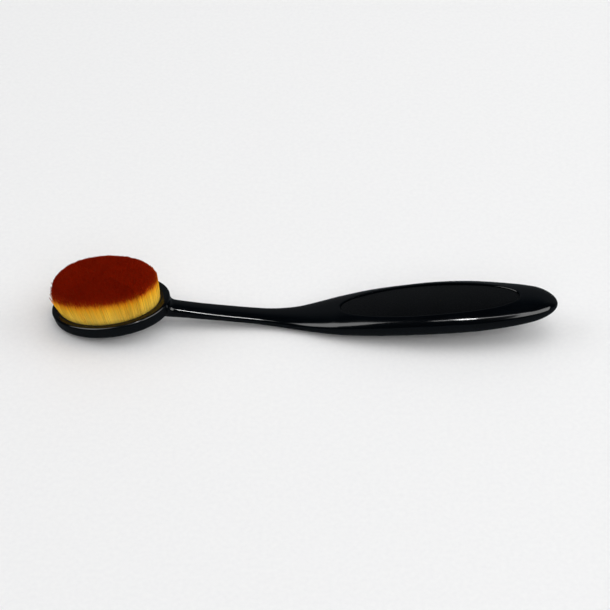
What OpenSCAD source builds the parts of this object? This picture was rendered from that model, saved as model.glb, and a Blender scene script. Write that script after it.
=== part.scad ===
// Oval blending brush lying on its back: a dense oval tuft in a cup, a slim neck
// and a leaf-shaped grip with an inlay.
// Millimetres. +X runs from the head to the tail, +Z is up, and z = 0 is the surface that the brush lies on.

/* [Overall] */
// Length from the toe of the head to the end of the tail
overall_length = 170; // [162:1:178]

/* [Head] */
// Length of the oval cup over its rim
head_length = 40.8; // [40:0.2:44]
// Width of the oval cup over its rim
head_width = 26.1; // [25.5:0.1:29]
// Depth of the cup from its rim to its back
head_depth = 5.8; // [5.6:0.1:7]
// Angle by which the rim rises from the toe to the neck
head_pitch = 9.3; // [7:0.1:10]
// Rounding of the rim's outer edge
rim_round = 0.8; // [0.4:0.1:1]
// Rounding between the wall of the cup and its back
back_round = 2.5; // [2:0.1:2.8]
// How far the wall leans in from the rim to the back
wall_lean = 0.2; // [0:0.1:1]

/* [Neck and grip] */
// Width of the neck
neck_width = 6.2; // [5.8:0.1:6.8]
// Thickness of the neck where it is thinnest
neck_thickness = 3.7; // [3.4:0.1:4.2]
// Greatest width of the grip
grip_width = 21.6; // [20.8:0.2:23]
// Greatest thickness of the grip
grip_thickness = 11; // [10.6:0.2:12]
// Fullness of the sections: 2 is an ellipse and more is squarer
section_fullness = 2.3; // [2.1:0.05:2.5]
// Length of the rounded end of the tail
tail_round = 8; // [7:0.5:11]

/* [Inlay] */
// Length of the oval inlay
inlay_length = 60; // [57:0.5:62]
// Width of the oval inlay
inlay_width = 14.6; // [14:0.2:15.4]
// How far the face of the inlay lies below the edge of its recess
inlay_recess = 0.5; // [0.4:0.05:0.7]
// Thickness of the inlay at its two ends
inlay_thickness = 1.4; // [1.2:0.1:1.6]
// Rise of the inlay's face from its ends to its middle
inlay_crown = 1.3; // [1.1:0.1:1.5]
// Fall of the inlay's face from its middle to its sides
inlay_camber = 0.5; // [0.3:0.1:0.6]

/* [Tuft] */
// Length of the tuft at its root
tuft_length = 35; // [33:0.2:35.4]
// Width of the tuft at its root
tuft_width = 21.3; // [20:0.1:21.5]
// Height of the tuft over the rim
tuft_height = 13.2; // [11:0.2:14]
// How far the tuft stands from the middle of the cup towards the toe
tuft_offset = 0.2; // [0:0.1:0.5]
// How far the tips at the toe lie below those round the rest of the edge
toe_drop = 3; // [2:0.5:4]
// How much each half axis of the tuft grows from root to tip
tuft_flare = 1.1; // [0.6:0.1:1.4]
// Strands along each side of the square that is mapped onto the oval
strand_rows = 20; // [18:2:22]

/* [Hidden] */
$fn = 64;

slack = 0.1;         // room around a piece that is glued into its seat
overcut = 1;         // how far a cut or a blank runs past the face that it makes
oval_points = 72;    // points round an oval
section_points = 36; // points round a section of the handle

// Head: the seat in the cup, and the tray and the resin in it, measured down from the rim
seat_depth = 4.2;
tray_glue = 0.2;
lip_drop = 0.4;
tray_wall = 0.6;
tray_floor = 1;
potting_depth = 1.2;
slab_depth = 0.6;
tray_peg_d = 3;
tray_peg_length = 1.1;
tray_peg_x = 9;
tray_bottom = seat_depth - tray_glue;
slab_top = tray_bottom - tray_floor - potting_depth - slab_depth;
tray_half = [tuft_length / 2 + tray_wall, tuft_width / 2 + tray_wall];
seat_half = [tray_half.x + slack, tray_half.y + slack];
head_half = [head_length / 2, head_width / 2];

// Strands: cells of a square grid mapped onto the oval, each with its own strand
strand_foot = 0.82;  // share of the cell that the strand's foot fills
strand_tip = 0.74;   // share of the cell that its tip fills
tip_scatter = 0.3;   // how far a tip stands above or below the dome
tuft_crown = 1.4;    // fall of the dome from its middle to its edge
toe_rise = 0.7;      // rise of the dome from its middle towards the toe
edge_round = 2.8;    // how far the dome rounds off at its edge
edge_from = 0.68;    // share of the radius at which it starts to round off
slab_half = [tuft_length / 2 - slack / 2, tuft_width / 2 - slack / 2];
function polar(r, a) = [r * cos(a), r * sin(a)];
function to_disk(u, v) =
    u == 0 && v == 0 ? [0, 0] : abs(u) >= abs(v) ? polar(u, 45 * v / u) : polar(v, 90 - 45 * u / v);
function unit(k) = 2 * k / strand_rows - 1;
function grid_point(i, j) = to_disk(unit(i), unit(j));
function middle(q) = (q[0] + q[1] + q[2] + q[3]) / 4;
function shrunk(q, f) = [for (p = q) middle(q) + f * (p - middle(q))];
function cell(i, j) =
    [grid_point(i, j), grid_point(i + 1, j), grid_point(i + 1, j + 1), grid_point(i, j + 1)];
function on_slab(p, z) = [p.x * slab_half.x, p.y * slab_half.y, z];
function edge_drop(p) = edge_round + toe_drop * max(0, -p.x) ^ 3;
function tip_height(p) =
    let (r = norm(p), q = max(0, (r - edge_from) / (1 - edge_from)))
    tuft_height - tuft_crown * r ^ 2 - toe_rise * p.x - edge_drop(p) * (1 - sqrt(max(0, 1 - q ^ 2)));
function scatter(i, j) = tip_scatter * sin(137.5 * (i * strand_rows + j));
function tip(p, rise) =
    [p.x * (slab_half.x + tuft_flare), p.y * (slab_half.y + tuft_flare), tip_height(p) + rise];
function tips(i, j) = [for (p = shrunk(cell(i, j), strand_tip)) tip(p, scatter(i, j))];

// Profile of the cup from the rim to the back: [depth below the rim, inset from the rim's oval]
arc_steps = 6;
rim_arc = [for (k = [0:arc_steps]) let (a = 90 * k / arc_steps)
    [rim_round * (1 - cos(a)), rim_round * (1 - sin(a))]];
back_arc = [for (k = [0:arc_steps]) let (a = 90 * k / arc_steps)
    [head_depth - back_round * (1 - sin(a)), wall_lean + back_round * (1 - cos(a))]];
cup_profile = concat(rim_arc, back_arc);
// The toe touches the surface with the lowest point of the rounded back
head_z = max([for (p = cup_profile) p[0] * cos(head_pitch) + (head_half.x - p[1]) * sin(head_pitch)]);
// The toe ends at the cup or at the tips over it, whichever reaches further
cup_reach = max([for (p = cup_profile) (head_half.x - p[1]) * cos(head_pitch) - p[0] * sin(head_pitch)]);
tip_reach = max([for (j = [0:strand_rows - 1], p = tips(0, j))
    p.z * sin(head_pitch) + (tuft_offset - p.x) * cos(head_pitch)]);
head_x = max(cup_reach, tip_reach) - overall_length / 2;

// Handle: sections from its root inside the cup to the tip of the tail, each
// [share of the run, height of the spine, share from neck to full width, share from neck to full thickness]
root_share = 0.65;
root_x = head_x + root_share * head_half.x;
tail_x = overall_length / 2;
handle_run = tail_x - root_x;
sections = [
    [0.000, 7.50, 0.01, 0.23],
    [0.040, 6.38, 0.01, 0.25],
    [0.075, 5.75, 0.00, 0.16],
    [0.130, 4.87, 0.00, 0.07],
    [0.190, 4.08, 0.01, 0.01],
    [0.250, 3.28, 0.02, 0.00],
    [0.305, 2.58, 0.07, 0.04],
    [0.365, 2.40, 0.24, 0.14],
    [0.425, 3.18, 0.49, 0.36],
    [0.470, 4.02, 0.66, 0.57],
    [0.555, 5.75, 0.86, 0.85],
    [0.675, 7.85, 0.99, 1.00],
    [0.735, 8.75, 1.00, 1.00],
    [0.795, 9.40, 0.96, 0.95],
    [0.855, 10.00, 0.84, 0.83],
    [0.915, 10.70, 0.65, 0.67],
    [0.960, 11.25, 0.44, 0.49],
    [1.000, 11.35, 0.28, 0.40]];

// Value of column c at share s, on a smooth curve through the sections
function slope(i, c) =
    let (a = max(i - 1, 0), b = min(i + 1, len(sections) - 1))
    (sections[b][c] - sections[a][c]) / (sections[b][0] - sections[a][0]);
function span(s, i = 0) = i >= len(sections) - 2 || s < sections[i + 1][0] ? i : span(s, i + 1);
function along(s, c) =
    let (i = span(s), step = sections[i + 1][0] - sections[i][0], t = (s - sections[i][0]) / step)
    (2 * t ^ 3 - 3 * t ^ 2 + 1) * sections[i][c] + (t ^ 3 - 2 * t ^ 2 + t) * step * slope(i, c)
    + (3 * t ^ 2 - 2 * t ^ 3) * sections[i + 1][c] + (t ^ 3 - t ^ 2) * step * slope(i + 1, c);

// The tail closes on a quarter ellipse
blunt = 0.1;
tail_from = tail_x - tail_round;
function closing(x) = x <= tail_from ? 1 : max(blunt, sqrt(max(0, 1 - ((x - tail_from) / tail_round) ^ 2)));
function share_at(x) = (x - root_x) / handle_run;
function between(low, high, share) = low + (high - low) * share;
function half_width(x) = closing(x) * between(neck_width, grip_width, along(share_at(x), 2)) / 2;
function half_thickness(x) = closing(x) * between(neck_thickness, grip_thickness, along(share_at(x), 3)) / 2;
function spine(x) = along(share_at(x), 1) - belly;
function top_of(x) = spine(x) + half_thickness(x);

// Stations are even along the handle and close up round the tail
body_stations = 36;
tail_stations = 9;
stations = concat(
    [for (k = [0:body_stations]) root_x + (tail_from - root_x) * k / body_stations],
    [for (k = [1:tail_stations]) tail_from + tail_round * sin(90 * k / tail_stations)]);
// The lowest point of the grip touches the surface
belly = min([for (x = stations) along(share_at(x), 1) - half_thickness(x)]);

// Inlay: its plane runs through the two ends of its recess
inlay_half = [inlay_length / 2, inlay_width / 2];
inlay_to_tail = 42.8;
inlay_x = tail_x - inlay_to_tail;
inlay_ends = [for (s = [-1, 1]) top_of(inlay_x + s * inlay_half.x) - inlay_recess];
inlay_pitch = atan2(inlay_ends[1] - inlay_ends[0], inlay_length);
inlay_z = (inlay_ends[0] + inlay_ends[1]) / 2;
film = 0.2;
ledge = 2;
pocket_half = [inlay_half.x - ledge, inlay_half.y - ledge];
pocket_depth = 4.4;
seat_floor = inlay_thickness + film;
peg_d = 3;
peg_length = 3;
peg_x = 15;
boss_d = 6;
face_shares = [1, 0.85, 0.7, 0.55, 0.4, 0.2, 0.02];

module at_head() {
    translate([head_x, 0, head_z]) rotate([0, -head_pitch, 0]) children();
}

module at_tuft() {
    at_head() translate([-tuft_offset, 0, 0]) children();
}

module at_inlay() {
    translate([inlay_x, 0, inlay_z]) rotate([0, -inlay_pitch, 0]) children();
}

module oval(half) {
    polygon([for (k = [0:oval_points - 1]) let (a = 360 * k / oval_points)
        [half.x * cos(a), half.y * sin(a)]]);
}

// An oval prism from z = bottom to z = top
module oval_block(half, bottom, top) {
    translate([0, 0, bottom]) linear_extrude(top - bottom) oval(half);
}

// Two of a piece on the centre line, at equal distances from the middle
module pair(x, z) {
    for (s = [-1, 1]) translate([s * x, 0, z]) children();
}

module tray_pegs(height) {
    pair(tray_peg_x, -tray_bottom - tray_peg_length) cylinder(d = tray_peg_d, h = height);
}

module inlay_pegs() {
    pair(peg_x, -inlay_thickness - peg_length) cylinder(d = peg_d, h = peg_length + inlay_thickness / 2);
}

// Skin through rings of points that run round the loft's direction, with flat ends
module loft(rings) {
    n = len(rings[0]);
    last = (len(rings) - 1) * n;
    sides = [for (i = [0:len(rings) - 2], j = [0:n - 1])
        let (a = i * n + j, b = i * n + (j + 1) % n)
        each [[a, b + n, b], [a, a + n, b + n]]];
    ends = [[for (j = [0:n - 1]) j], [for (j = [n - 1:-1:0]) last + j]];
    polyhedron([for (r = rings) each r], concat(sides, ends));
}

// Outside of the cup, from the back up to the rim
module cup() {
    rings = [for (k = [len(cup_profile) - 1:-1:0]) let (p = cup_profile[k])
        [for (j = [0:oval_points - 1]) let (a = 360 * j / oval_points)
            [(head_half.x - p[1]) * cos(a), (head_half.y - p[1]) * sin(a), -p[0]]]];
    loft(rings);
}

// Neck and grip
module shaft() {
    power = 2 / section_fullness;
    function rounded(c) = sign(c) * abs(c) ^ power;
    rings = [for (x = stations) [for (j = [0:section_points - 1]) let (a = 360 * j / section_points)
        [x, half_width(x) * rounded(cos(a)), spine(x) + half_thickness(x) * rounded(sin(a))]]];
    loft(rings);
}

module handle_body() {
    color("#151517")
    difference() {
        union() {
            at_head() cup();
            shaft();
        }
        at_tuft() {
            oval_block(seat_half, -seat_depth, head_depth);
            tray_pegs(head_depth);
        }
        at_inlay() {
            oval_block([inlay_half.x + slack, inlay_half.y + slack], -seat_floor, grip_thickness);
            difference() {
                oval_block(pocket_half, -seat_floor - pocket_depth, 0);
                pair(peg_x, -seat_floor - pocket_depth) cylinder(d = boss_d, h = pocket_depth);
            }
            inlay_pegs();
        }
    }
}

// Rings of the panel run from its underside round the edge and in over its crowned face
module inlay_panel() {
    function oval_at(share) = [for (k = [0:oval_points - 1]) let (a = 360 * k / oval_points)
        share * [inlay_half.x * cos(a), inlay_half.y * sin(a)]];
    function face(p) =
        inlay_crown * (1 - (p.x / inlay_half.x) ^ 2) - inlay_camber * (p.y / inlay_half.y) ^ 2;
    underside = [for (p = oval_at(1)) [p.x, p.y, -inlay_thickness]];
    crown = [for (share = face_shares) [for (p = oval_at(share)) [p.x, p.y, face(p)]]];
    color("#1c1c1f")
    at_inlay() {
        loft(concat([underside], crown));
        inlay_pegs();
    }
}

module inlay_adhesive() {
    color("#cfc9b8")
    at_inlay() difference() {
        oval_block(inlay_half, -seat_floor, -inlay_thickness);
        oval_block(pocket_half, -seat_floor - overcut, 0);
    }
}

module bristle_tray() {
    color("#232326")
    at_tuft() {
        difference() {
            oval_block(tray_half, -tray_bottom, -lip_drop);
            oval_block([tuft_length / 2, tuft_width / 2], -tray_bottom + tray_floor, 0);
        }
        tray_pegs(tray_peg_length);
    }
}

module tray_adhesive() {
    color("#d9d2bd")
    at_tuft() difference() {
        oval_block(tray_half, -seat_depth, -tray_bottom);
        tray_pegs(head_depth);
    }
}

module root_potting() {
    color("#a98d55")
    at_tuft() oval_block(slab_half, -tray_bottom + tray_floor, -slab_top - slab_depth);
}

// Slab of resin with one four-sided strand on each cell of the grid
module bristle_tuft() {
    n = strand_rows;
    rim = concat([for (i = [0:n - 1]) [i, 0]], [for (j = [0:n - 1]) [n, j]],
                 [for (i = [n:-1:1]) [i, n]], [for (j = [n:-1:1]) [0, j]]);
    nodes_at = len(rim);
    strands_at = nodes_at + (n + 1) ^ 2;
    function node_at(i, j) = nodes_at + i * (n + 1) + j;
    function strand_at(i, j) = strands_at + 8 * (i * n + j);
    function quad(a, b, c, d) = [[a, b, c], [a, c, d]];
    points = concat(
        [for (r = rim) on_slab(grid_point(r[0], r[1]), -slab_top - slab_depth)],
        [for (i = [0:n], j = [0:n]) on_slab(grid_point(i, j), -slab_top)],
        [for (i = [0:n - 1], j = [0:n - 1]) each concat(
            [for (p = shrunk(cell(i, j), strand_foot)) on_slab(p, -slab_top)],
            tips(i, j))]);
    slab = concat(
        [[for (k = [0:len(rim) - 1]) k]],
        [for (k = [0:len(rim) - 1])
            let (next = (k + 1) % len(rim), a = rim[k], b = rim[next])
            each quad(k, node_at(a[0], a[1]), node_at(b[0], b[1]), next)]);
    strands = [for (i = [0:n - 1], j = [0:n - 1])
        let (c = [node_at(i, j), node_at(i + 1, j), node_at(i + 1, j + 1), node_at(i, j + 1)],
             f = strand_at(i, j))
        each concat(
            [for (k = [0:3]) let (m = (k + 1) % 4) each quad(c[k], f + k, f + m, c[m])],
            [for (k = [0:3]) let (m = (k + 1) % 4) each quad(f + k, f + 4 + k, f + 4 + m, f + m)],
            quad(f + 7, f + 6, f + 5, f + 4))];
    color("#b5793a")
    at_tuft() polyhedron(points, concat(slab, strands));
}

handle_body();
inlay_panel();
inlay_adhesive();
bristle_tray();
tray_adhesive();
root_potting();
bristle_tuft();
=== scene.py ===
"""Oval blending brush on a pale table: a glossy moulding, a satin inlay and a dense dyed tuft."""

import math
import random

import bmesh
import bpy
from mathutils import Matrix, Vector
from mathutils.noise import noise_vector, seed_set


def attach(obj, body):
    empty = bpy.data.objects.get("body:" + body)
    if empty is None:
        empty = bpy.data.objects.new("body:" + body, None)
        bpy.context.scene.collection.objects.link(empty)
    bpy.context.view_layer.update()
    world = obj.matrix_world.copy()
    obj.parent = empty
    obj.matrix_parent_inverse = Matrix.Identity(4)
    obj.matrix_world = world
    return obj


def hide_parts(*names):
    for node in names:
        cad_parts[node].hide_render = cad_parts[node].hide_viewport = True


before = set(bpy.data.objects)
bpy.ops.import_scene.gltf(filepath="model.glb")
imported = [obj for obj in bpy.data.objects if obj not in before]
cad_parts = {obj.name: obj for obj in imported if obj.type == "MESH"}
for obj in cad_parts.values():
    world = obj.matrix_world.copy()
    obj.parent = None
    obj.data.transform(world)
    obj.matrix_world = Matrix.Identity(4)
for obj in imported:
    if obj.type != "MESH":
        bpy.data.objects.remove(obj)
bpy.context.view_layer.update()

# Sizes of the solids, in millimetres and degrees
MM = 0.001
MERGE_GAP = 0.002
SHARP_ANGLE = math.radians(40)
HEAD_PLACE = (-64.991, 0, 8.616)
HEAD_PITCH = 9.3
HEAD_HALF = (20.4, 13.05)
HEAD_DEPTH = 5.8
RIM_ROUND = 0.8
BACK_ROUND = 2.5
WALL_LEAN = 0.2
WALL_STEP = 1.2
SEAT_HALF = (18.2, 11.35)
SEAT_DEPTH = 4.2
SEAT_EDGE = 0.15

ROOT_X = -51.731
TAIL_X = 85
TAIL_ROUND = 8
NECK_WIDTH = 6.2
NECK_THICKNESS = 3.7
GRIP_WIDTH = 21.6
GRIP_THICKNESS = 11
SECTION_FULLNESS = 2.3
BELLY = -0.0126
# Share of the run, height of the spine, shares from neck to full width and to full thickness
SECTIONS = (
    (0.000, 7.50, 0.01, 0.23),
    (0.040, 6.38, 0.01, 0.25),
    (0.075, 5.75, 0.00, 0.16),
    (0.130, 4.87, 0.00, 0.07),
    (0.190, 4.08, 0.01, 0.01),
    (0.250, 3.28, 0.02, 0.00),
    (0.305, 2.58, 0.07, 0.04),
    (0.365, 2.40, 0.24, 0.14),
    (0.425, 3.18, 0.49, 0.36),
    (0.470, 4.02, 0.66, 0.57),
    (0.555, 5.75, 0.86, 0.85),
    (0.675, 7.85, 0.99, 1.00),
    (0.735, 8.75, 1.00, 1.00),
    (0.795, 9.40, 0.96, 0.95),
    (0.855, 10.00, 0.84, 0.83),
    (0.915, 10.70, 0.65, 0.67),
    (0.960, 11.25, 0.44, 0.49),
    (1.000, 11.35, 0.28, 0.40),
)

INLAY_PLACE = (42.2, 0, 10.942)
INLAY_PITCH = 6.7705
INLAY_HALF = (30, 7.3)
INLAY_SLACK = 0.1
INLAY_THICKNESS = 1.4
INLAY_CROWN = 1.3
INLAY_CAMBER = 0.5
INLAY_EDGE = 0.2
LIP_WIDTH = 0.6
LIP_TURN = math.radians(46)
LEDGE_DEPTH = 1.6
LEDGE = 2
POCKET_DEPTH = 4.4

TUFT_HALF = (17.05, 10.6)
TUFT_OFFSET = 0.2
TUFT_HEIGHT = 13.2
TUFT_CROWN = 1.4
TUFT_FLARE = 1.1
TOE_RISE = 1.2
TOE_DROP = 4
TOE_SPLAY = 0.2
EDGE_ROUND = 2.8
EDGE_FROM = 0.68
RESIN_TOP = -1.2
RESIN_BOTTOM = -1.75

HEAD_FRAME = Matrix.Translation(HEAD_PLACE) @ Matrix.Rotation(math.radians(-HEAD_PITCH), 4, "Y")
FROM_HEAD = HEAD_FRAME.inverted()
TUFT_FRAME = HEAD_FRAME @ Matrix.Translation((-TUFT_OFFSET, 0, 0))
INLAY_FRAME = Matrix.Translation(INLAY_PLACE) @ Matrix.Rotation(math.radians(-INLAY_PITCH), 4, "Y")
FROM_INLAY = INLAY_FRAME.inverted()


class Wire:
    """An output socket of a node tree; sums and products of wires add Math nodes."""

    def __init__(self, tree, socket=None):
        self.tree = tree
        self.socket = socket

    def node(self, kind, settings, inputs, output=0):
        made = self.tree.nodes.new(kind)
        for name, value in settings.items():
            if name == "stops":
                set_stops(made.color_ramp, value)
            else:
                setattr(made, name, value)
        for name, value in inputs.items():
            if isinstance(value, Wire):
                self.tree.links.new(value.socket, made.inputs[name])
            else:
                made.inputs[name].default_value = value
        return Wire(self.tree, made.outputs[output] if made.outputs else None)

    def math(self, operation, first, second):
        return self.node("ShaderNodeMath", {"operation": operation}, {0: first, 1: second})

    def __add__(self, other):
        return self.math("ADD", self, other)

    def __radd__(self, other):
        return self.math("ADD", other, self)

    def __sub__(self, other):
        return self.math("SUBTRACT", self, other)

    def __rsub__(self, other):
        return self.math("SUBTRACT", other, self)

    def __mul__(self, other):
        return self.math("MULTIPLY", self, other)

    def __rmul__(self, other):
        return self.math("MULTIPLY", other, self)


def set_stops(ramp, stops):
    """Stops of a colour ramp as (position, colour)."""
    while len(ramp.elements) < len(stops):
        ramp.elements.new(1)
    for element, (position, colour) in zip(ramp.elements, stops):
        element.position = position
        element.color = (*colour, 1)


def mix_colour(wire, factor, first, second):
    return wire.node("ShaderNodeMix", {"data_type": "RGBA"}, {0: factor, 6: first, 7: second}, 2)


def noise(wire, scale, detail=2.0, stretch=(1, 1, 1)):
    """Noise on the object's own metres, drawn out along an axis where stretch is small."""
    place = wire.node("ShaderNodeTexCoord", {}, {}, "Object")
    mapped = wire.node("ShaderNodeMapping", {}, {"Vector": place, "Scale": stretch})
    return wire.node("ShaderNodeTexNoise", {}, {"Vector": mapped, "Scale": scale, "Detail": detail})


def spread(wire, value, low, high):
    """Value from 0.3 to 0.7, where noise mostly lies, spread from low to high."""
    settings = {"clamp": True}
    inputs = {"Value": value, "From Min": 0.3, "From Max": 0.7, "To Min": low, "To Max": high}
    return wire.node("ShaderNodeMapRange", settings, inputs)


def mottled(wire, pattern, dark, pale):
    """Colour that wanders between two tones with a noise."""
    return mix_colour(wire, spread(wire, pattern, 0, 1), (*dark, 1), (*pale, 1))


def bump(wire, height, distance, strength):
    inputs = {"Height": height, "Distance": distance, "Strength": strength}
    return wire.node("ShaderNodeBump", {}, inputs)


def material(name, recipe):
    """A material whose recipe takes a wire of its tree and gives the surface shader's sockets."""
    made = bpy.data.materials.new(name)
    made.use_nodes = True
    made.node_tree.nodes.clear()
    wire = Wire(made.node_tree)
    surface = wire.node("ShaderNodeBsdfPrincipled", {}, recipe(wire))
    wire.node("ShaderNodeOutputMaterial", {}, {"Surface": surface})
    return made


def glossy_moulding(wire):
    """Polished black moulding: a faint flow in the skin, handling haze and hairline scuffs."""
    flow = noise(wire, 260, 1.0)
    haze = noise(wire, 90, 4.0)
    scuffs = noise(wire, 2600, 2.0, (0.08, 1, 1))
    skin = bump(wire, flow + 0.05 * scuffs, 0.00003, 0.35)
    return {
        "Base Color": mottled(wire, haze, (0.0004, 0.0009, 0.0016), (0.0008, 0.0016, 0.0026)),
        "Roughness": spread(wire, haze, 0.07, 0.12) + spread(wire, scuffs, 0, 0.03),
        "Specular IOR Level": 0.5,
        "Normal": skin,
    }


def satin_panel(wire):
    """Black panel with a fine spark-eroded grain that dulls its reflection."""
    grain = noise(wire, 4200, 3.0)
    cloud = noise(wire, 120, 2.0)
    return {
        "Base Color": mottled(wire, cloud, (0.0003, 0.0006, 0.001), (0.0006, 0.001, 0.0016)),
        "Roughness": spread(wire, grain, 0.24, 0.34),
        "Specular IOR Level": 0.5,
        "Normal": bump(wire, grain, 0.00002, 0.5),
    }


def matte_tray(wire):
    """Unpolished black tray inside the cup."""
    grain = noise(wire, 3000, 3.0)
    return {
        "Base Color": mottled(wire, grain, (0.002, 0.002, 0.0022), (0.004, 0.004, 0.0044)),
        "Roughness": spread(wire, grain, 0.5, 0.7),
        "Normal": bump(wire, grain, 0.00004, 0.6),
    }


def cured_resin(wire):
    """Amber potting resin, uneven where it pooled."""
    pool = noise(wire, 400, 4.0)
    return {
        "Base Color": mottled(wire, pool, (0.3, 0.18, 0.05), (0.46, 0.32, 0.12)),
        "Roughness": spread(wire, pool, 0.25, 0.45),
        "Normal": bump(wire, pool, 0.0001, 0.5),
    }


def glue_film(wire):
    """Milky film of glue."""
    speckle = noise(wire, 900, 3.0)
    return {
        "Base Color": mottled(wire, speckle, (0.5, 0.47, 0.38), (0.64, 0.61, 0.52)),
        "Roughness": spread(wire, speckle, 0.5, 0.7),
        "Normal": bump(wire, speckle, 0.00003, 0.5),
    }


DYE_TOP = 14
DYE_WANDER = 1.1
FILAMENT_STOPS = (
    (0.00, (0.95, 0.66, 0.120)),
    (0.10, (0.98, 0.66, 0.090)),
    (0.40, (0.98, 0.58, 0.045)),
    (0.54, (0.95, 0.45, 0.020)),
    (0.62, (0.78, 0.25, 0.008)),
    (0.67, (0.52, 0.085, 0.003)),
    (0.72, (0.36, 0.022, 0.001)),
    (0.80, (0.31, 0.013, 0.0005)),
    (1.00, (0.31, 0.013, 0.0005)),
)


def dyed_filament(wire):
    """Cream filament whose tips were dipped in brown dye, each with its own tone and dye line."""
    height = wire.node("ShaderNodeAttribute", {"attribute_name": "height"}, {}, "Fac")
    tone = wire.node("ShaderNodeAttribute", {"attribute_name": "tone"}, {}, "Fac")
    dipped = (height + (tone - 0.5) * DYE_WANDER) * (1 / DYE_TOP)
    colour = wire.node("ShaderNodeValToRGB", {"stops": FILAMENT_STOPS}, {"Fac": dipped})
    shade = spread(wire, tone, 0.74, 1.12)
    tinted = wire.node("ShaderNodeVectorMath", {"operation": "SCALE"}, {0: colour, "Scale": shade})
    return {
        "Base Color": tinted,
        "Roughness": spread(wire, tone, 0.38, 0.55),
        "Specular IOR Level": 0.03,
    }


# Painted reflection: the dark colour the table takes only where the brush's gloss mirrors it
PAINTED_REFLECTION_COLOUR = (0.09, 0.1, 0.11, 1)


def paper_table(wire):
    """White paper, painted dark in glossy rays: a painted dark reflection in the brush's gloss, as if a
    black card stood in front.
    """
    fibre = noise(wire, 700, 4.0)
    paper = mottled(wire, fibre, (0.83, 0.83, 0.835), (0.86, 0.86, 0.86))
    painted_reflection_mask = wire.node("ShaderNodeLightPath", {}, {}, "Is Glossy Ray")
    return {
        # Painted dark reflection: glossy rays see this colour in place of the paper
        "Base Color": mix_colour(wire, painted_reflection_mask, paper, PAINTED_REFLECTION_COLOUR),
        "Roughness": 0.9,
        "Specular IOR Level": 0,
        "Normal": bump(wire, fibre, 0.00005, 0.3),
    }


def add_piece(mesh_draft, name, finish, nodes):
    """Turns a draft in millimetres into a piece of the brush that stands for the nodes."""
    bmesh.ops.recalc_face_normals(mesh_draft, faces=mesh_draft.faces)
    bmesh.ops.scale(mesh_draft, vec=(MM, MM, MM), verts=mesh_draft.verts)
    mesh = bpy.data.meshes.new(name)
    mesh_draft.to_mesh(mesh)
    mesh_draft.free()
    mesh.shade_smooth()
    mesh.set_sharp_from_angle(angle=SHARP_ANGLE)
    mesh.materials.append(finish)
    piece = bpy.data.objects.new(name, mesh)
    bpy.context.scene.collection.objects.link(piece)
    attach(piece, "root")
    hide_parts(*nodes)
    return piece


def lay_skin(draft, rings):
    """Lays a grid on rings of points, one row a ring."""
    rows = len(rings) - 1
    columns = len(rings[0]) - 1
    grid = bmesh.ops.create_grid(draft, x_segments=columns, y_segments=rows, size=1)
    for vert in grid["verts"]:
        column = round((vert.co.x + 1) / 2 * columns)
        row = round((vert.co.y + 1) / 2 * rows)
        vert.co = rings[row][column]


def bend(start, corner, end, share):
    """Point of a rounding that leaves start and reaches end along the two sides of a corner."""
    return start.lerp(corner, share).lerp(corner.lerp(end, share), share)


# Neck and grip

def slope(i, column):
    before = SECTIONS[max(i - 1, 0)]
    after = SECTIONS[min(i + 1, len(SECTIONS) - 1)]
    return (after[column] - before[column]) / (after[0] - before[0])


def along(x, column):
    """Value of a column of the sections at x, on a smooth curve through them."""
    share = (x - ROOT_X) / (TAIL_X - ROOT_X)
    i = 0
    while i < len(SECTIONS) - 2 and share >= SECTIONS[i + 1][0]:
        i += 1
    low, high = SECTIONS[i], SECTIONS[i + 1]
    step = high[0] - low[0]
    t = (share - low[0]) / step
    ends = (2 * t**3 - 3 * t**2 + 1) * low[column] + (3 * t**2 - 2 * t**3) * high[column]
    return ends + step * ((t**3 - 2 * t**2 + t) * slope(i, column) + (t**3 - t**2) * slope(i + 1, column))


def closing(x):
    """The tail closes on a quarter ellipse."""
    past = max(0, (x - TAIL_X + TAIL_ROUND) / TAIL_ROUND)
    return math.sqrt(max(0, 1 - past**2))


def half_width(x):
    return closing(x) * (NECK_WIDTH + (GRIP_WIDTH - NECK_WIDTH) * along(x, 2)) / 2


def half_thickness(x):
    return closing(x) * (NECK_THICKNESS + (GRIP_THICKNESS - NECK_THICKNESS) * along(x, 3)) / 2


def section_point(x, angle):
    """Point of the section at x, with the angle counted from the top towards the near side."""
    power = 2 / SECTION_FULLNESS
    across = math.copysign(abs(math.sin(angle)) ** power, math.sin(angle))
    upward = math.copysign(abs(math.cos(angle)) ** power, math.cos(angle))
    return Vector((x, -half_width(x) * across, along(x, 1) - BELLY + half_thickness(x) * upward))


def on_grip(half, turn):
    """Where an oval column in the inlay's frame meets the grip: the point and its angle from the top."""
    x = half[0] * math.cos(turn)
    y = half[1] * math.sin(turn)
    z = 0
    for _ in range(8):
        station = (INLAY_FRAME @ Vector((x, y, z))).x
        angle = math.asin(min(1, abs(y) / half_width(station)) ** (SECTION_FULLNESS / 2))
        point = section_point(station, math.copysign(angle, -y))
        z = (FROM_INLAY @ point).z
    return point, angle


# Cup of the head

def cup_inset(depth):
    """How far the wall stands in from the rim's oval at a depth below the rim."""
    if depth < RIM_ROUND:
        return RIM_ROUND - math.sqrt(RIM_ROUND**2 - (RIM_ROUND - depth) ** 2)
    to_back = HEAD_DEPTH - depth
    if to_back < BACK_ROUND:
        return WALL_LEAN + BACK_ROUND - math.sqrt(BACK_ROUND**2 - (BACK_ROUND - to_back) ** 2)
    return WALL_LEAN * (depth - RIM_ROUND) / (HEAD_DEPTH - BACK_ROUND - RIM_ROUND)


def outside_cup(point):
    """About how far a point of the head's frame is outside the cup."""
    depth = min(max(-point.z, 0), HEAD_DEPTH)
    inset = cup_inset(depth)
    length, width = HEAD_HALF[0] - inset, HEAD_HALF[1] - inset
    oval = (math.hypot(point.x / length, point.y / width) - 1) * width
    return max(oval, -point.z - HEAD_DEPTH, point.z)


def cup_normal(point):
    step = 0.01
    axes = (Vector((step, 0, 0)), Vector((0, step, 0)), Vector((0, 0, step)))
    return Vector([outside_cup(point + a) - outside_cup(point - a) for a in axes]).normalized()


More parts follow.
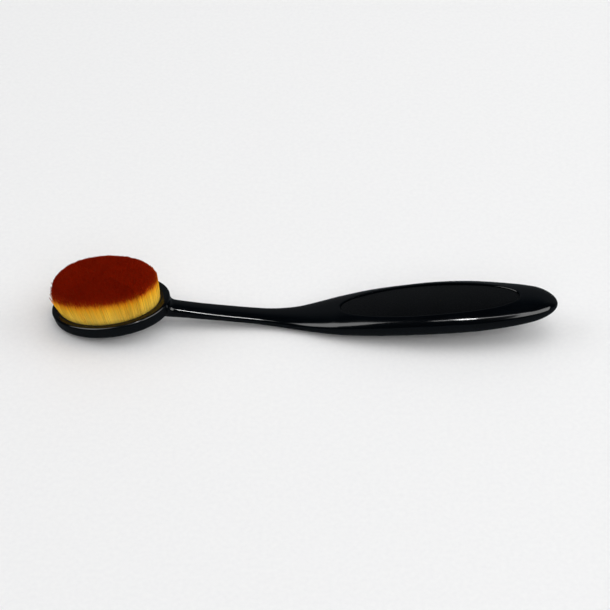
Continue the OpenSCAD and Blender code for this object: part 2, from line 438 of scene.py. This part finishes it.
def onto_cup(point):
    for _ in range(12):
        point = point - outside_cup(point) * cup_normal(point)
    return point


FILLET = 1.2
SIDE_FILLET = 0.6
ROOT_SINK = 0.15
NECK_FROM = -40
HEEL_CORE = Vector((19, 0, -4.8))


def neck_root(angle):
    """Where the neck's line at an angle enters the cup, and the two ends of the fillet there."""
    inner, outer = ROOT_X, NECK_FROM
    for _ in range(40):
        middle = (inner + outer) / 2
        if outside_cup(FROM_HEAD @ section_point(middle, angle)) > 0:
            outer = middle
        else:
            inner = middle
    corner = section_point(outer, angle)
    outward = (corner - Vector((outer, 0, along(outer, 1) - BELLY))).normalized()
    entry = FROM_HEAD @ corner
    normal = cup_normal(entry)
    sideways = FROM_HEAD.to_3x3() @ outward
    sideways = (sideways - sideways.dot(normal) * normal).normalized()
    fillet = FILLET + SIDE_FILLET * abs(outward.y)
    on_cup = onto_cup(entry + fillet * sideways)
    sunk = on_cup - ROOT_SINK * cup_normal(on_cup)
    return HEAD_FRAME @ sunk, HEAD_FRAME @ on_cup, corner, outer + fillet


COLUMNS = 112
INLAY_STEPS = 64
FILLET_STEPS = 8
ROOT_STEPS = 6
NECK_STEPS = 32
REAR_STEPS = 3
TAIL_STEPS = 20
ROUND_STEPS = 8
LIP_STEPS = 6


def full_turn():
    return [2 * math.pi * c / COLUMNS for c in range(COLUMNS + 1)]


def handle_rings():
    """Rings of the neck and the grip from the cup to the tail, open along the edge of the recess."""
    turns = full_turn()
    roots = [neck_root(turn) for turn in turns]
    rings = [[HEAD_FRAME @ HEEL_CORE] * len(turns), [root[0] for root in roots]]
    for k in range(FILLET_STEPS + 1):
        rings.append([
            bend(on_cup, corner, section_point(start, turn), k / FILLET_STEPS)
            for turn, (_, on_cup, corner, start) in zip(turns, roots)
        ])
    for k in range(1, ROOT_STEPS + 1):
        rings.append([
            section_point(start + (NECK_FROM - start) * k / ROOT_STEPS, turn)
            for turn, (_, _, _, start) in zip(turns, roots)
        ])
    edge = edge_half(LIP_WIDTH)
    openings = [on_grip(edge, math.pi * (1 - k / INLAY_STEPS)) for k in range(INLAY_STEPS + 1)]
    first, last = openings[0][0].x, openings[-1][0].x
    for k in range(1, NECK_STEPS):
        x = NECK_FROM + (first - NECK_FROM) * k / NECK_STEPS
        rings.append([section_point(x, turn) for turn in turns])
    for point, angle in openings:
        rings.append([section_point(point.x, angle + turn * (1 - angle / math.pi)) for turn in turns])
    tail_from = TAIL_X - TAIL_ROUND
    for k in range(1, REAR_STEPS + 1):
        x = last + (tail_from - last) * k / REAR_STEPS
        rings.append([section_point(x, turn) for turn in turns])
    for k in range(1, TAIL_STEPS + 1):
        x = tail_from + TAIL_ROUND * math.sin(math.pi / 2 * k / TAIL_STEPS)
        rings.append([section_point(x, turn) for turn in turns])
    return rings


def edge_half(extra):
    """Half sizes of the recess's oval, let out by extra."""
    return INLAY_HALF[0] + INLAY_SLACK + extra, INLAY_HALF[1] + INLAY_SLACK + extra


def recess_rings():
    """Rounded lip, wall, ledge and cored pocket under the inlay."""
    turns = [math.pi * k / INLAY_STEPS for k in range(2 * INLAY_STEPS + 1)]
    down = INLAY_FRAME.to_3x3() @ Vector((0, 0, -1))
    edges = [on_grip(edge_half(LIP_WIDTH), turn)[0] for turn in turns]
    corners = [on_grip(edge_half(0), turn)[0] for turn in turns]
    rings = []
    for k in range(LIP_STEPS + 1):
        turned = LIP_TURN * k / LIP_STEPS
        inward = math.sin(turned) / math.sin(LIP_TURN)
        drop = LIP_WIDTH * (1 - math.cos(turned)) / math.sin(LIP_TURN)
        rings.append([edge.lerp(corner, inward) + drop * down for edge, corner in zip(edges, corners)])
    pocket = (INLAY_HALF[0] - LEDGE, INLAY_HALF[1] - LEDGE)
    floor = -LEDGE_DEPTH - POCKET_DEPTH
    for half, z in ((edge_half(0), -LEDGE_DEPTH), (pocket, -LEDGE_DEPTH), (pocket, floor), ((0, 0), floor)):
        rings.append([INLAY_FRAME @ oval_point(half, turn, z) for turn in turns])
    return rings


def oval_point(half, turn, z):
    return Vector((half[0] * math.cos(turn), half[1] * math.sin(turn), z))


def cup_rings():
    """Rings of the cup from the middle of its back over the rim to the middle of its seat."""
    turns = full_turn()
    quarter = [math.pi / 2 * k / ROUND_STEPS for k in range(ROUND_STEPS + 1)]
    back = (HEAD_HALF[0] - WALL_LEAN - BACK_ROUND, HEAD_HALF[1] - WALL_LEAN - BACK_ROUND)
    outside = [((back[0] * share, back[1] * share), -HEAD_DEPTH) for share in (0, 0.5, 0.9)]
    depths = [HEAD_DEPTH - BACK_ROUND * (1 - math.cos(a)) for a in quarter]
    depths += [HEAD_DEPTH - BACK_ROUND - WALL_STEP]
    depths += [RIM_ROUND * (1 - math.sin(a)) for a in quarter]
    for depth in depths:
        inset = cup_inset(depth)
        outside.append(((HEAD_HALF[0] - inset, HEAD_HALF[1] - inset), -depth))
    seat = []
    for a in quarter:
        gap = SEAT_EDGE * (1 - math.sin(a))
        seat.append(((SEAT_HALF[0] + gap, SEAT_HALF[1] + gap), -SEAT_EDGE * (1 - math.cos(a))))
    seat.append((SEAT_HALF, -SEAT_DEPTH))
    seat.append(((0, 0), -SEAT_DEPTH))
    rings = [[HEAD_FRAME @ oval_point(half, turn, z) for turn in turns] for half, z in outside]
    return rings + [[TUFT_FRAME @ oval_point(half, turn, z) for turn in turns] for half, z in seat]


def make_handle(finish):
    draft = bmesh.new()
    for rings in (handle_rings(), recess_rings(), cup_rings()):
        lay_skin(draft, rings)
    bmesh.ops.remove_doubles(draft, verts=draft.verts, dist=MERGE_GAP)
    return add_piece(draft, "handle_shell", finish, ["handle_body"])


def make_inlay(finish):
    """Oval panel whose face is crowned both ways, with an eased edge."""
    turns = full_turn()
    profile = [(share, 0, 0) for share in (0, 0.2, 0.4, 0.6, 0.8, 0.92)]
    for k in range(LIP_STEPS + 1):
        a = math.pi / 2 * k / LIP_STEPS
        profile.append((1, INLAY_EDGE * (1 - math.sin(a)), INLAY_EDGE * (1 - math.cos(a))))
    rings = []
    for share, inset, drop in profile:
        half = ((INLAY_HALF[0] - inset) * share, (INLAY_HALF[1] - inset) * share)
        ring = [oval_point(half, turn, -drop) for turn in turns]
        for point in ring:
            point.z += INLAY_CROWN * (1 - (point.x / INLAY_HALF[0]) ** 2)
            point.z -= INLAY_CAMBER * (point.y / INLAY_HALF[1]) ** 2
        rings.append(ring)
    for half in (INLAY_HALF, (0, 0)):
        rings.append([oval_point(half, turn, -INLAY_THICKNESS) for turn in turns])
    draft = bmesh.new()
    lay_skin(draft, [[INLAY_FRAME @ point for point in ring] for ring in rings])
    bmesh.ops.remove_doubles(draft, verts=draft.verts, dist=MERGE_GAP)
    return add_piece(draft, "inlay_face", finish, ["inlay_panel"])


# Tuft

STRANDS = 66
FOOT_GAP = 0.008
LEVELS = (0.12, 0.45, 0.78, 1)
TAPERS = (1.15, 1.15, 1.05, 0.6)
OUTWARD = 0.7
CLUMP = 0.22
CLUMPS = 7
CLUMP_SEED = 3
STRAY = 1.1
STRAY_SHARE = 0.06
STRAY_FROM = 0.97
FOOT_JITTER = 0.22
TIP_SCATTER = 0.1
TIP_UNEVEN = 0.16
TONE_SPREAD = 0.13
DYE_FALL = 1.2
DYE_SCATTER = 0.3


def to_disk(u, v):
    """Square onto disk, ring by ring."""
    if u == 0 and v == 0:
        return Vector((0, 0))
    if abs(u) >= abs(v):
        return u * Vector((math.cos(math.pi / 4 * v / u), math.sin(math.pi / 4 * v / u)))
    return v * Vector((math.sin(math.pi / 4 * u / v), math.cos(math.pi / 4 * u / v)))


def edge_share(r):
    """How far the dome has rounded off at a share of its radius."""
    past = min(1, max(0, (r - EDGE_FROM) / (1 - EDGE_FROM)))
    return 1 - math.sqrt(1 - past**2)


def toe_fall(foot):
    """How far the tips at the toe lie below those round the rest of the edge."""
    return TOE_DROP * max(0, -foot.x) ** 2 * edge_share(foot.length)


def tuft_tip(foot, chance):
    """Tip of the strand whose foot is at a place of the unit disk."""
    r = foot.length
    splay = TOE_SPLAY * max(0, -foot.x) ** 4 * edge_share(r)
    strays = r > STRAY_FROM and chance.random() < STRAY_SHARE * max(0, -foot.x)
    reach = TUFT_FLARE + (chance.uniform(0, STRAY) if strays else 0)
    clump = CLUMP * noise_vector(foot.to_3d() * CLUMPS)
    x = foot.x * (TUFT_HALF[0] + reach + splay) + clump.x + chance.gauss(0, TIP_SCATTER)
    y = foot.y * (TUFT_HALF[1] + reach) + clump.y + chance.gauss(0, TIP_SCATTER)
    dome = TUFT_HEIGHT - TUFT_CROWN * r**2 - TOE_RISE * foot.x
    fall = EDGE_ROUND * edge_share(r) + toe_fall(foot)
    return Vector((x, y, dome - fall + chance.gauss(0, TIP_UNEVEN)))


def strand_place(foot, tip, level):
    """Place on a strand that leaves its foot outwards and then straightens up."""
    return Vector((*foot.lerp(tip, level**OUTWARD).xy, foot.lerp(tip, level).z))


def make_tuft_quarter(name, side_x, side_y, finish, seed):
    """A quarter of the tuft: each cell of a grid is inset, and drawn up into a strand in steps."""
    chance = random.Random(seed)
    draft = bmesh.new()
    height = draft.verts.layers.float.new("height")
    tone = draft.verts.layers.float.new("tone")
    strand = draft.faces.layers.int.new("strand")
    grid = bmesh.ops.create_grid(draft, x_segments=STRANDS, y_segments=STRANDS, size=0.5)
    jitter = FOOT_JITTER / STRANDS
    for vert in grid["verts"]:
        u = side_x * (vert.co.x + 0.5)
        v = side_y * (vert.co.y + 0.5)
        if not vert.is_boundary:
            u += chance.uniform(-jitter, jitter)
            v += chance.uniform(-jitter, jitter)
        place = to_disk(u, v)
        vert.co = (place.x * TUFT_HALF[0], place.y * TUFT_HALF[1], RESIN_TOP)
        vert[height] = RESIN_TOP
        vert[tone] = 0.5
    draft.normal_update()
    cells = list(draft.faces)
    bmesh.ops.inset_individual(draft, faces=cells, thickness=FOOT_GAP, use_even_offset=True)
    feet, tips, tones, dyes, twists = [], [], [], [], []
    for k, cell in enumerate(cells):
        cell[strand] = k
        foot = cell.calc_center_median()
        share = Vector((foot.x / TUFT_HALF[0], foot.y / TUFT_HALF[1]))
        feet.append(foot)
        tips.append(tuft_tip(share, chance))
        tones.append(chance.gauss(0.5, TONE_SPREAD))
        dyed = DYE_FALL * toe_fall(share) + TOE_RISE * share.x
        dyes.append(dyed + chance.gauss(0, DYE_SCATTER))
        twists.append(Matrix.Rotation(chance.uniform(0, math.pi / 2), 3, "Z"))
        for vert in cell.verts:
            vert[tone] = tones[k]
    before = 1
    for level, taper in zip(LEVELS, TAPERS):
        cells = bmesh.ops.extrude_discrete_faces(draft, faces=cells)["faces"]
        for cell in cells:
            k = cell[strand]
            middle = cell.calc_center_median()
            rise = strand_place(feet[k], tips[k], level)
            turn = twists[k] if level == LEVELS[0] else Matrix.Identity(3)
            for vert in cell.verts:
                vert.co = rise + turn @ (vert.co - middle) * (taper / before)
                vert[height] = rise.z + dyes[k]
                vert[tone] = tones[k]
        before = taper
    rim = [edge for edge in draft.edges if edge.is_boundary]
    skirt = bmesh.ops.extrude_edge_only(draft, edges=rim)["geom"]
    lowered = [part for part in skirt if isinstance(part, bmesh.types.BMVert)]
    for vert in lowered:
        vert.co.z = RESIN_BOTTOM
    hem = [part for part in skirt if isinstance(part, bmesh.types.BMEdge) and part.is_boundary]
    bmesh.ops.holes_fill(draft, edges=hem, sides=0)
    bmesh.ops.transform(draft, matrix=TUFT_FRAME, verts=draft.verts)
    return add_piece(draft, name, finish, ["bristle_tuft"])


# Table, light and camera

def make_table(finish):
    draft = bmesh.new()
    bmesh.ops.create_grid(draft, x_segments=1, y_segments=1, size=4)
    mesh = bpy.data.meshes.new("table")
    draft.to_mesh(mesh)
    draft.free()
    mesh.materials.append(finish)
    table = bpy.data.objects.new("table", mesh)
    bpy.context.scene.collection.objects.link(table)


def around(azimuth, elevation, distance):
    """Place round the brush: azimuth 0 is in front of it, and positive to the right."""
    a, e = math.radians(azimuth), math.radians(elevation)
    return distance * Vector((math.sin(a) * math.cos(e), -math.cos(a) * math.cos(e), math.sin(e)))


def add_softbox(name, place, size, power, shows, tilt=0):
    """Rectangular lamp that faces the brush, in metres and watts, and shows as shade or as gloss."""
    lamp = bpy.data.lights.new(name, "AREA")
    lamp.shape = "RECTANGLE"
    lamp.size, lamp.size_y = size
    lamp.energy = power
    softbox = bpy.data.objects.new(name, lamp)
    softbox.location = place
    facing = place.to_track_quat("Z", "Y").to_matrix() @ Matrix.Rotation(math.radians(tilt), 3, "Z")
    softbox.rotation_euler = facing.to_euler()
    softbox.visible_glossy = shows == "gloss"
    softbox.visible_diffuse = shows == "shade"
    bpy.context.scene.collection.objects.link(softbox)


def add_camera(azimuth, elevation, distance, target, field):
    """Camera that looks at target; field is the width in metres that the picture shows there."""
    back = around(azimuth, elevation, 1)
    lens = bpy.data.cameras.new("camera")
    lens.angle = 2 * math.atan(field / 2 / distance)
    camera = bpy.data.objects.new("camera", lens)
    camera.location = Vector(target) + distance * back
    camera.rotation_euler = back.to_track_quat("Z", "Y").to_euler()
    bpy.context.scene.collection.objects.link(camera)
    bpy.context.scene.camera = camera


WALL_LIGHT = 0.1
ROOM_LIGHT = 0.014
SKY_COLOUR = (0.92, 0.96, 1, 1)


def light_studio():
    """A dim wall behind the brush, lamps that shade it, and windows and a lamp that its gloss shows."""
    world = bpy.data.worlds.new("studio")
    world.use_nodes = True
    world.node_tree.nodes.clear()
    wire = Wire(world.node_tree)
    way = wire.node("ShaderNodeTexCoord", {}, {}, "Generated")
    back = wire.node("ShaderNodeSeparateXYZ", {}, {0: way}, "Y")
    up = wire.node("ShaderNodeSeparateXYZ", {}, {0: way}, "Z")
    smooth = {"interpolation_type": "SMOOTHSTEP"}
    behind = wire.node("ShaderNodeMapRange", smooth, {"Value": back, "From Min": 0.1, "From Max": 0.5})
    low = wire.node("ShaderNodeMapRange", smooth, {"Value": up, "From Min": 0.97, "From Max": 0.6})
    wall = behind * low * WALL_LIGHT + ROOM_LIGHT
    sky = wire.node("ShaderNodeBackground", {}, {"Color": SKY_COLOUR, "Strength": wall})
    wire.node("ShaderNodeOutputWorld", {}, {"Surface": sky})
    bpy.context.scene.world = world
    add_softbox("tent", Vector((0.2, 0.4, 1.1)), (4, 3.6), 22, "shade")
    add_softbox("overhead", Vector((0.25, 0.2, 1.2)), (1.1, 1), 4.2, "shade")
    add_softbox("fill", around(20, 42, 1.7), (2.2, 1.2), 12, "shade")
    add_softbox("left_side", around(-95, 36, 3), (1.9, 1.9), 20, "shade")
    add_softbox("right_side", around(95, 32, 3), (1.9, 1.9), 25, "shade")
    add_softbox("left_window", around(-58, 44, 1.2), (0.76, 0.68), 5.8, "gloss")
    add_softbox("right_window", around(53, 28, 1.2), (1.14, 0.7), 9.4, "gloss", tilt=-25)
    add_softbox("lamp", around(13, 52.5, 1.2), (0.62, 0.08), 0.8, "gloss")
    add_softbox("lamp_middle", around(8, 52, 1.1), (0.12, 0.11), 1.6, "gloss")


make_handle(material("moulded_black", glossy_moulding))
make_inlay(material("satin_black", satin_panel))
filament = material("dyed_filament", dyed_filament)
seed_set(CLUMP_SEED)
QUARTERS = (
    ("tuft_toe_near", -1, -1),
    ("tuft_toe_far", -1, 1),
    ("tuft_heel_near", 1, -1),
    ("tuft_heel_far", 1, 1),
)
for number, (name, side_x, side_y) in enumerate(QUARTERS):
    make_tuft_quarter(name, side_x, side_y, filament, number)
glue = material("glue_film", glue_film)
finishes = {
    "bristle_tray": material("matte_tray", matte_tray),
    "root_potting": material("cured_resin", cured_resin),
    "inlay_adhesive": glue,
    "tray_adhesive": glue,
}
for node, finish in finishes.items():
    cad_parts[node].data.materials.clear()
    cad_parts[node].data.materials.append(finish)
make_table(material("paper_table", paper_table))
light_studio()
add_camera(1.43, 44, 0.6, (0.00057, 0, 0.00857), 0.20495)
bpy.context.scene.view_settings.view_transform = "Standard"
